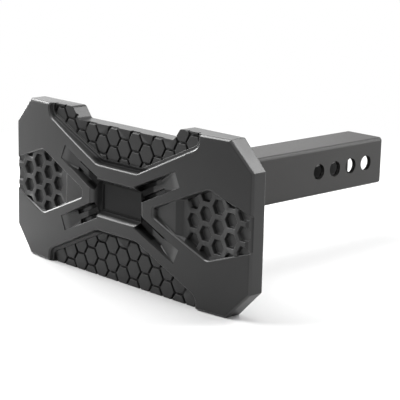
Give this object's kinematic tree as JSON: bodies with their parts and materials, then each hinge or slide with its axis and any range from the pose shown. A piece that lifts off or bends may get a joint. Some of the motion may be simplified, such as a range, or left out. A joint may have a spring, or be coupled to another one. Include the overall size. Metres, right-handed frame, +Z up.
{
  "type": "hitch receiver step",
  "caption": "Moulded tread pad on a square shank that slides into a trailer hitch receiver and makes a step behind a vehicle.",
  "frame": {"origin": "on the shank's axis, at the centre of the hitch pin hole nearest the shank's open end", "axes": "+Y along the shank towards the vehicle, +Z up, +X across the pad; the pad faces -Y"},
  "size_m": [0.332, 0.3604, 0.16],
  "materials": {
    "moulded_plastic": "near black grey, fine moulded grain",
    "powder_coat": "satin grey black powder coat on steel",
    "zinc_steel": "plain zinc plated fasteners",
    "insert_brass": "plain turned brass"
  },
  "bodies": {
    "root": {"step_pad": "moulded_plastic", "threaded_inserts": "insert_brass", "mounting_plate": "powder_coat", "receiver_tube": "powder_coat", "tube_weld": "powder_coat", "plate_bolts": "zinc_steel"}
  },
  "joints": []
}
